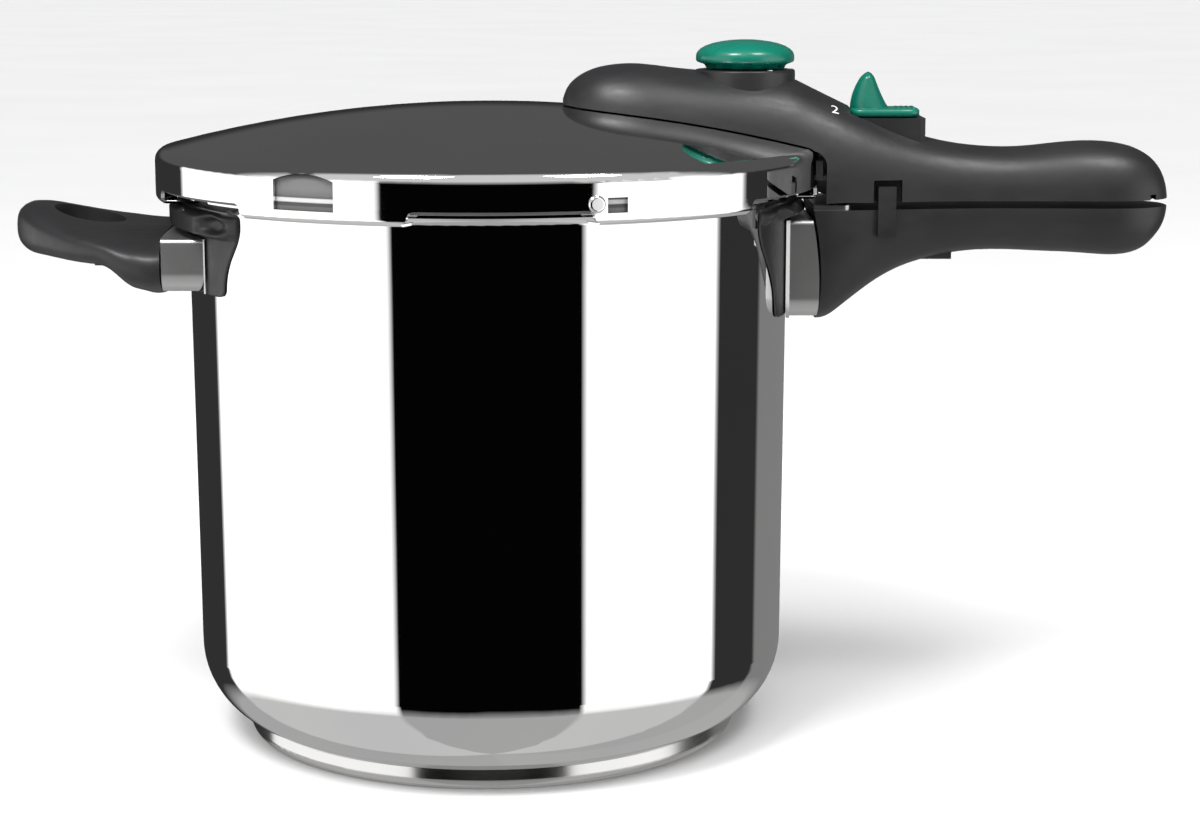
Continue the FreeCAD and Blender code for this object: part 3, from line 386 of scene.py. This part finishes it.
# (radius, height) as shares of the CAD knob's, from its foot to its crown
KNOB_PROFILE = [(0.30, 0.00), (0.80, 0.00), (0.815, 0.03), (0.83, 0.10), (0.875, 0.155),
                (0.94, 0.19), (0.98, 0.225), (0.997, 0.27), (1.0, 0.34), (0.997, 0.44),
                (0.985, 0.52), (0.955, 0.60), (0.90, 0.69), (0.80, 0.785), (0.66, 0.87),
                (0.50, 0.93), (0.33, 0.972), (0.16, 0.993), (0.04, 1.0)]
TICKS = 3
TICK_FIRST, TICK_STEP = -60, 60                    # degrees
TICK_HALF_LENGTH, TICK_GROWTH = 0.0009, 0.0003
TICK_HALF_WIDTH = 0.00045
TICK_TALL = 0.00025
TICK_INSET = 0.0016                                # of its middle, from the knob's rim
TICK_DROP = 0.0005                                 # of its foot, below the knob


def knob_cap(materials):
    """Domed knob with scallops round its neck, over the CAD knob."""
    low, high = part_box("selector_knob")
    centre = Vector(((low.x + high.x) / 2, (low.y + high.y) / 2, 0))
    rim = (high.x - low.x) / 2
    tall = high.z - low.z
    loops = []
    for radius, height in KNOB_PROFILE:
        bite = (SCALLOP_DEPTH * smooth_step((radius - SCALLOP_FROM_R) / SCALLOP_OVER_R)
                * smooth_step((SCALLOP_BELOW - height) / SCALLOP_OVER_HEIGHT))
        loop = []
        for i in range(KNOB_POINTS):
            angle = 2 * math.pi * i / KNOB_POINTS
            hollow = bite * (0.5 + 0.5 * math.cos(KNOB_SCALLOPS * angle)) ** 2
            reach = rim * (radius - hollow)
            loop.append(centre + Vector((reach * math.cos(angle), reach * math.sin(angle),
                                         low.z + tall * height)))
        loops.append(loop)
    vertices, faces = rings(loops)
    cap = piece("knob_cap", "knob", materials["green_plastic"], vertices, faces)
    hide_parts("selector_knob")


def dial_ticks(materials):
    """Raised ticks under the knob's rim that grow with the setting."""
    low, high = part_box("selector_knob")
    centre_x = (low.x + high.x) / 2
    foot_z = low.z - TICK_DROP
    reach = (high.x - low.x) / 2 - TICK_INSET
    for i in range(TICKS):
        angle = math.radians(TICK_STEP * i + TICK_FIRST)
        length = TICK_HALF_LENGTH + TICK_GROWTH * i
        way = Vector((math.cos(angle), math.sin(angle), 0))
        across = Vector((-way.y, way.x, 0)) * TICK_HALF_WIDTH
        base = Vector((centre_x, 0, foot_z)) + way * reach
        corners = [base - across - way * length, base + across - way * length,
                   base + across + way * length, base - across + way * length]
        top = [corner + Vector((0, 0, TICK_TALL)) for corner in corners]
        vertices, faces = rings([corners, top])
        piece(f"dial_tick_{i}", "lid", materials["mark_paint"], vertices, faces, False)


# ---------------------------------------------------------------- handle marks
MARK_TEXT = "2"
MARK_SIZE = 0.0062
MARK_LIFT = 0.00012            # how far a mark stands off the surface that carries it
MARK_AHEAD = 0.0066            # of the slider's front edge
MARK_DROP = 0.0020             # below the slider's middle
MARK_SIDE = 0.017              # from the handle's middle, where the cast passes
MARK_CAST = 0.05               # how far back along its way the cast starts


def drape(source, points, start, way, lift):
    """Drops flat points along one axis onto a CAD node's surface, kept lift above it."""
    placed = []
    for point in points:
        hit, where, _, _ = source.ray_cast(start + point, way)
        if not hit:
            raise RuntimeError("a mark has no surface under it")
        placed.append(where - way * lift)
    return placed


def digit_points(text, size):
    """Outline mesh of one digit, as flat points about its own middle, and its faces."""
    curve = bpy.data.curves.new("digit", "FONT")
    curve.body = text
    curve.size = size
    curve.align_x = "CENTER"
    curve.align_y = "CENTER"
    holder = bpy.data.objects.new("digit", curve)
    bpy.context.scene.collection.objects.link(holder)
    bpy.context.view_layer.update()
    flat = bpy.data.meshes.new_from_object(holder)
    points = [v.co.copy() for v in flat.vertices]
    faces = [tuple(polygon.vertices) for polygon in flat.polygons]
    bpy.data.objects.remove(holder)
    bpy.data.meshes.remove(flat)
    return points, faces


def handle_marks(materials):
    """Pale printed digits on both sides of the lid handle, ahead of the slider."""
    shell = NODES["lid_handle_shell"]
    slider_low, slider_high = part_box("lock_slider")
    middle_x = slider_low.x - MARK_AHEAD
    middle_z = (slider_low.z + slider_high.z) / 2 - MARK_DROP
    for side, name in ((-1, "near"), (1, "far")):
        points, faces = digit_points(MARK_TEXT, MARK_SIZE)
        way = Vector((0, -side, -1)).normalized()
        up = Vector((0, -side, 1)).normalized()
        flat = [Vector((-side * p.x, 0, 0)) + up * p.y for p in points]
        start = Vector((middle_x, side * MARK_SIDE, middle_z)) - way * MARK_CAST
        placed = drape(shell, flat, start, way, MARK_LIFT)
        piece("handle_mark_" + name, "lid", materials["mark_paint"], placed, faces)


# ---------------------------------------------------------------- lock slider
PLATE_BOTTOM, PLATE_TOP = 0.0023, 0.0054           # above the CAD slider's foot
PLATE_FOOT_EDGE = 0.0006
# (distance below the plate's top, inset from its sides)
PLATE_TOP_EDGE = [(0.0009, 0.0), (0.0002, 0.0006), (0.0, 0.0018)]
FIN_STEPS, FIN_POINTS = 28, 48
FIN_SINK = 0.0008                                  # into the plate
FIN_FRONT, FIN_FRONT_LEAN, FIN_FRONT_POWER = 0.0002, 0.0052, 2.0
FIN_BACK, FIN_BACK_LEAN, FIN_BACK_POWER = 0.0154, 0.0070, 0.72
FIN_HALF_WIDTH, FIN_THINNING = 0.0062, 0.0030
FIN_TIP_FROM, FIN_TIP_OVER = 0.82, 0.18            # the rounded tip, as shares of the height
FIN_TIP_LEAST = 0.0025
RIBS = 4
RIB_FROM_END, RIB_PITCH = 0.0022, 0.0019
RIB_HALF_SPAN = 0.0066
RIB_HALF_WIDTH, RIB_TALL = 0.00055, 0.0007
RIB_SINK = 0.0002
RIB_END_SHARE, RIB_END_POWER = 0.06, 0.4
RIB_STEPS = 8


def slider_cap(materials):
    """Rounded slider plate with a thumb fin, over the CAD slider."""
    low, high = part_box("lock_slider")
    floor_z = low.z + PLATE_BOTTOM
    plate_z = low.z + PLATE_TOP
    length, width = high.x - low.x, high.y - low.y
    middle = Vector((low.x + length / 2, 0, 0))
    edges = [(0.0, PLATE_FOOT_EDGE), (PLATE_FOOT_EDGE, 0.0)]
    edges += [(plate_z - floor_z - below, inset) for below, inset in PLATE_TOP_EDGE]
    loops = [soft_box_loop(middle, length / 2 - inset, width / 2 - inset, floor_z + height)
             for height, inset in edges]
    vertices, faces = rings(loops)
    cap = piece("slider_cap", "lock", materials["green_plastic"],
                vertices, faces)
    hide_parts("lock_slider")

    # the fin's front and back close in towards its tip, and its oval section thins upwards
    fin_tall = high.z - plate_z + FIN_SINK
    loops = []
    for i in range(FIN_STEPS + 1):
        t = i / FIN_STEPS
        front = low.x + FIN_FRONT + FIN_FRONT_LEAN * t ** FIN_FRONT_POWER
        back = low.x + FIN_BACK - FIN_BACK_LEAN * t ** FIN_BACK_POWER
        into_tip = max((t - FIN_TIP_FROM) / FIN_TIP_OVER, 0)
        round_tip = math.sqrt(max(1 - into_tip ** 2, FIN_TIP_LEAST))
        centre = Vector(((front + back) / 2, 0, plate_z - FIN_SINK + fin_tall * t))
        half_x = (back - front) / 2 * round_tip
        half_y = (FIN_HALF_WIDTH - FIN_THINNING * t) * round_tip
        loops.append([centre + Vector((half_x * math.cos(a), half_y * math.sin(a), 0))
                      for a in (2 * math.pi * k / FIN_POINTS for k in range(FIN_POINTS))])
    vertices, faces = rings(loops)
    piece("slider_fin", "lock", materials["green_plastic"], vertices, faces)


def slider_ribs(materials):
    """Low thumb ribs on the slider's flat tail, behind its fin."""
    low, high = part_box("lock_slider")
    top = low.z + PLATE_TOP
    for i in range(RIBS):
        x = high.x - RIB_FROM_END - RIB_PITCH * i
        loops = []
        for j in range(RIB_STEPS + 1):
            y = -RIB_HALF_SPAN + 2 * RIB_HALF_SPAN * j / RIB_STEPS
            along = min(max(j / RIB_STEPS, RIB_END_SHARE), 1 - RIB_END_SHARE)
            tall = RIB_TALL * math.sin(math.pi * along) ** RIB_END_POWER
            arch = [math.pi * k / RIB_STEPS for k in range(RIB_STEPS + 1)]
            loops.append([Vector((x + RIB_HALF_WIDTH * math.cos(a), y,
                                  top - RIB_SINK + tall * math.sin(a))) for a in arch])
        vertices, faces = rings(loops)
        piece(f"slider_rib_{i}", "lock", materials["green_plastic"],
              vertices, faces)


# ---------------------------------------------------------------- heat pads
POT_WALL_R = 0.111             # the pot's outer wall below its rim
PAD_GAP = 0.00004              # between a pad and that wall
PAD_BELOW_TOP = 0.0022         # how far a pad ends below its CAD node's top
PAD_COLUMNS, PAD_ROWS = 96, 60
PAD_CORNER, PAD_CORNER_OVER = 2.2, 0.10            # degrees, and share of the height
PAD_SHOULDER, PAD_SHOULDER_OVER = 2.0, 0.07
PAD_SHOULDER_FROM = 0.93
PAD_FLARE_OVER, PAD_FLARE_POWER = 0.85, 1.5
PAD_EDGE_POWER, PAD_EDGE_GAIN = 14, 1.4
PAD_THICK, PAD_LEAST = 0.0007, 0.0002
LIP_CLEAR, LIP_OVER = 0.0004, 0.0030               # above the ferrule
POCKET_INSET, POCKET_HALF_WIDTH = 6.0, 3.0         # degrees
POCKET_BELOW_TOP, POCKET_HALF_HEIGHT = 0.0046, 0.0028
POCKET_REACH, POCKET_DEPTH = 1.6, 0.82
PAD_TOP_SHARE, PAD_TOP_RATE, PAD_TOP_LEAST = 0.35, 16, 0.02    # thinning at the top edge
# (name, CAD node, side, half angle at its foot and at its top in degrees, ferrule, lip)
PADS = [("pot_pad_skin", "pot_handle_pad", 1, 20.2, 28.8, "pot_handle_ferrule", 0.0056),
        ("helper_pad_skin", "helper_pad", -1, 36.0, 41.6, "helper_ferrule", 0.0060)]


def heat_pad(materials, name, node, side, half_low, half_high, ferrule, lip):
    """Black pad that hugs the pot's wall, with a lip above its ferrule and two pockets."""
    low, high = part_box(node)
    _, ferrule_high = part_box(ferrule)
    wall = POT_WALL_R + PAD_GAP
    top_z = high.z - PAD_BELOW_TOP
    skin, back = [], []
    for i in range(PAD_ROWS + 1):
        t = i / PAD_ROWS
        z = low.z + (top_z - low.z) * t
        corner = quarter_round(1 - t / PAD_CORNER_OVER) * PAD_CORNER
        shoulder = quarter_round((t - PAD_SHOULDER_FROM) / PAD_SHOULDER_OVER) * PAD_SHOULDER
        flare = (half_high - half_low) * smooth_step(t / PAD_FLARE_OVER) ** PAD_FLARE_POWER
        half = half_low + flare - (PAD_CORNER - corner) - (PAD_SHOULDER - shoulder)
        rise = smooth_step((z - ferrule_high.z - LIP_CLEAR) / LIP_OVER)
        thinning = (PAD_TOP_SHARE + (1 - PAD_TOP_SHARE)
                    * math.sqrt(min(1.0, (1 - t) * PAD_TOP_RATE + PAD_TOP_LEAST)))
        for j in range(PAD_COLUMNS + 1):
            share = 2 * j / PAD_COLUMNS - 1
            angle = math.radians(half * share)
            edge = max(1 - abs(share) ** PAD_EDGE_POWER, 0.0)
            from_pocket = math.hypot(
                (abs(half * share) - (half - POCKET_INSET)) / POCKET_HALF_WIDTH,
                (z - top_z + POCKET_BELOW_TOP) / POCKET_HALF_HEIGHT)
            pocket = smooth_step(POCKET_REACH - from_pocket)
            raised = lip * rise * (1 - POCKET_DEPTH * pocket) * min(1.0, edge * PAD_EDGE_GAIN)
            thick = ((PAD_THICK + raised) * edge + PAD_LEAST) * thinning
            way = Vector((side * math.cos(angle), math.sin(angle), 0))
            skin.append(way * (wall + thick) + Vector((0, 0, z)))
            back.append(way * wall + Vector((0, 0, z)))
    vertices, faces = closed_sheet(skin, back, PAD_ROWS, PAD_COLUMNS)
    pad = piece(name, "pot", materials["black_phenolic"], vertices, faces)
    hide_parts(node)


# ---------------------------------------------------------------- valve springs
SPRING_WIRE_R = 0.0005
SPRING_STEPS = 40              # along each turn
SPRING_POINTS = 12             # round the wire
# (CAD node, joint, turns)
SPRINGS = [("regulator_spring", "regulator_lift", 5), ("safety_spring", "safety_lift", 3)]


def valve_spring(materials, node, joint, turns):
    """Wire coil in place of the CAD spring."""
    low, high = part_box(node)
    centre = Vector(((low.x + high.x) / 2, (low.y + high.y) / 2, 0))
    radius = (high.x - low.x) / 2 - SPRING_WIRE_R
    span = high.z - low.z - 2 * SPRING_WIRE_R
    steps = turns * SPRING_STEPS
    loops = []
    for i in range(steps + 1):
        angle = 2 * math.pi * turns * i / steps
        out = Vector((math.cos(angle), math.sin(angle), 0))
        rise = Vector((0, 0, low.z + SPRING_WIRE_R + span * i / steps))
        middle = centre + out * radius + rise
        loops.append([middle + out * SPRING_WIRE_R * math.cos(a)
                      + Vector((0, 0, SPRING_WIRE_R * math.sin(a)))
                      for a in (2 * math.pi * k / SPRING_POINTS for k in range(SPRING_POINTS))])
    vertices, faces = rings(loops)
    coil = piece(node + "_coil", "lid", materials["spring_wire"], vertices, faces)
    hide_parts(node)
    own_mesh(coil)


# ---------------------------------------------------------------- floor, light and camera
FLOOR_SIZE = 60.0
FLOOR_ROUGHNESS = 0.9
FLOOR_SPECULAR = 0.1
FLOOR_DARK, FLOOR_LIGHT = (0.86, 0.86, 0.86), (0.89, 0.89, 0.89)

# (start angle, end angle, brightness): 0 is towards -Y, and +90 towards +X
PANELS = [(-180, -125, 0.030), (-125, -35, 1.35), (-35, 38, 0.001),
          (38, 98, 1.35), (98, 128, 0.028), (128, 180, 0.21)]
PANEL_SOFT = 1.2               # degrees that a panel fades over, inside each end
CEILING_FRONT = 0.62
CEILING_BEHIND = 0.085         # also the wall behind, above its foot
GROUND = 0.44
BACKDROP = 1.0
# directions between which one part of the studio gives way to the next
BEHIND_Y = (-0.25, 0.05)
WALL_FOOT_Z = (0.06, 0.14)
CEILING_Z = (0.10, 0.34)
GROUND_Z = (-0.50, -0.40)
GROUND_SHARE = 0.88            # at its fullest, of the ground over the panels

LIGHT_AIM = (0.08, 0, 0.20)
# (name, kind, place, power, width in metres or a sun's in degrees, shows in gloss)
LIGHTS = [("sky_sun", "SUN", (-0.4, -0.5, 2.0), 2.4, 70, False),
          ("key_box", "AREA", (-0.45, -0.75, 1.35), 13.0, 0.42, True),
          ("grip_box", "AREA", (0.55, -0.55, 1.25), 7.0, 0.36, True)]

CAMERA_PLACE = (0.04135, -0.950, 0.29063)
CAMERA_PITCH = 79.738          # degrees up from straight down
CAMERA_LENS = 76.4             # mm
CAMERA_SENSOR = 36.0           # mm


def make_floor():
    """Plain pale floor that polished steel doesn't mirror."""
    bpy.ops.mesh.primitive_plane_add(size=FLOOR_SIZE)
    floor = bpy.context.object
    floor.name = "floor"
    floor.visible_glossy = False
    material, tree, shader = new_material("pale_floor")
    shader.inputs["Roughness"].default_value = FLOOR_ROUGHNESS
    shader.inputs["Specular IOR Level"].default_value = FLOOR_SPECULAR
    mottle = noise(tree, place(tree), scale=2, detail=2)
    tree.links.new(tint(tree, mottle, FLOOR_DARK, FLOOR_LIGHT), shader.inputs["Base Color"])
    floor.data.materials.append(material)


def turn_stops(spans):
    """Colour stops from (start angle, end angle, brightness), each angle from -180 to 180."""
    stops = []
    for start, end, level in spans:
        stops.append(((start + PANEL_SOFT + 180) / 360, level))
        stops.append(((end - PANEL_SOFT + 180) / 360, level))
    return stops


def make_light():
    """Studio of pale panels and dark gaps round the object, a ceiling and a pale ground."""
    world = bpy.data.worlds.new("studio")
    bpy.context.scene.world = world
    world.use_nodes = True
    tree = world.node_tree
    background = tree.nodes["Background"]
    direction = tree.nodes.new("ShaderNodeTexCoord")
    parts = tree.nodes.new("ShaderNodeSeparateXYZ")
    tree.links.new(direction.outputs["Generated"], parts.inputs[0])
    x, y, z = parts.outputs

    # turn is 0.5 towards -Y and grows towards +X
    turn = math_node(tree, "ARCTAN2", x, math_node(tree, "MULTIPLY", y, -1.0))
    turn = math_node(tree, "ADD", math_node(tree, "DIVIDE", turn, 2 * math.pi), 0.5)
    panels = ramp_of(tree, turn, turn_stops(PANELS))
    behind = spread(tree, y, 0.0, 1.0, *BEHIND_Y)
    ceiling = blend(tree, behind, CEILING_FRONT, CEILING_BEHIND)
    up = spread(tree, z, 0.0, 1.0, *CEILING_Z)
    down = spread(tree, z, GROUND_SHARE, 0.0, *GROUND_Z)
    wall = spread(tree, z, 0.0, 1.0, *WALL_FOOT_Z)
    upward_behind = math_node(tree, "MULTIPLY", behind, wall)
    room = blend(tree, upward_behind, panels, CEILING_BEHIND)
    room = blend(tree, up, room, ceiling)
    room = blend(tree, down, room, GROUND)

    # what the camera sees directly is a plain white backdrop
    path = tree.nodes.new("ShaderNodeLightPath")
    seen = blend(tree, path.outputs["Is Camera Ray"], room, BACKDROP)
    tree.links.new(seen, background.inputs["Color"])

    for light in LIGHTS:
        add_light(*light)


def add_light(name, kind, where, power, width, glossy):
    """Light that points at the cooker."""
    data = bpy.data.lights.new(name, kind)
    data.energy = power
    if kind == "SUN":
        data.angle = math.radians(width)
    else:
        data.size = width
    light = bpy.data.objects.new(name, data)
    light.location = where
    aim = Vector(LIGHT_AIM) - Vector(where)
    light.rotation_euler = aim.to_track_quat("-Z", "Y").to_euler()
    light.visible_glossy = glossy
    bpy.context.scene.collection.objects.link(light)


def make_camera():
    data = bpy.data.cameras.new("camera")
    data.sensor_width = CAMERA_SENSOR
    data.lens = CAMERA_LENS
    camera = bpy.data.objects.new("camera", data)
    camera.location = CAMERA_PLACE
    camera.rotation_euler = (math.radians(CAMERA_PITCH), 0, 0)
    bpy.context.scene.collection.objects.link(camera)
    bpy.context.scene.camera = camera
    bpy.context.scene.view_settings.view_transform = "Standard"


def main():
    materials = make_materials()
    dress_nodes(materials)
    knob_cap(materials)
    handle_marks(materials)
    dial_ticks(materials)
    slider_cap(materials)
    slider_ribs(materials)
    for pad in PADS:
        heat_pad(materials, *pad)
    for spring in SPRINGS:
        valve_spring(materials, *spring)
    make_floor()
    make_light()
    make_camera()


main()
bpy.context.view_layer.update()
